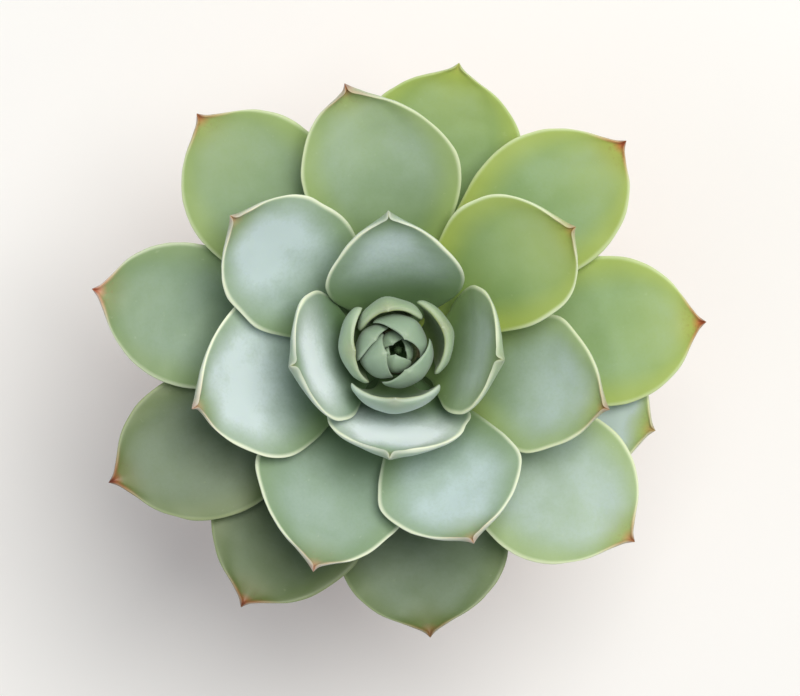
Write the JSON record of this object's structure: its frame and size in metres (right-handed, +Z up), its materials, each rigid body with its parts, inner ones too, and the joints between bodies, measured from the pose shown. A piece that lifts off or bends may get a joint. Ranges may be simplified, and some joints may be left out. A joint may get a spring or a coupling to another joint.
{
  "type": "potted succulent",
  "caption": "Open rosette of thick, pointed leaves on a short stem, rooted in soil in a plain tapered clay pot with a collar rim.",
  "frame": {"origin": "on the pot's axis, level with the pot's foot", "axes": "+Z up along the pot's axis; +Y is the top of the rosette as it is usually seen from above, +X its right"},
  "size_m": [0.129, 0.1221, 0.1146],
  "materials": {
    "leaf_lime": "satin",
    "leaf_frosted": "satin",
    "leaf_sage": "satin",
    "leaf_olive": "satin",
    "leaf_heart": "satin",
    "stem": "matte",
    "soil": "matte",
    "clay": "matte"
  },
  "bodies": {
    "root": {"pot": "clay", "soil": "soil", "stem": "stem", "outer_leaf_01": "leaf_olive", "outer_leaf_02": "leaf_lime", "outer_leaf_03": "leaf_sage", "outer_leaf_04": "leaf_olive", "outer_leaf_05": "leaf_lime", "outer_leaf_06": "leaf_sage", "outer_leaf_07": "leaf_olive", "outer_leaf_08": "leaf_lime", "outer_leaf_09": "leaf_frosted", "outer_leaf_10": "leaf_sage", "outer_leaf_11": "leaf_sage", "middle_leaf_01": "leaf_frosted", "middle_leaf_02": "leaf_sage", "middle_leaf_03": "leaf_frosted", "middle_leaf_04": "leaf_frosted", "middle_leaf_05": "leaf_lime", "middle_leaf_06": "leaf_frosted", "inner_leaf_01": "leaf_frosted", "inner_leaf_02": "leaf_frosted", "inner_leaf_03": "leaf_sage", "inner_leaf_04": "leaf_frosted", "upright_leaf_01": "leaf_sage", "upright_leaf_02": "leaf_sage", "upright_leaf_03": "leaf_sage", "upright_leaf_04": "leaf_frosted", "bud_leaf_01": "leaf_heart", "bud_leaf_02": "leaf_heart", "bud_leaf_03": "leaf_heart", "bud_leaf_04": "leaf_heart", "core_leaf_01": "leaf_heart", "core_leaf_02": "leaf_heart", "core_leaf_03": "leaf_heart", "core_leaf_04": "leaf_heart"}
  },
  "joints": []
}
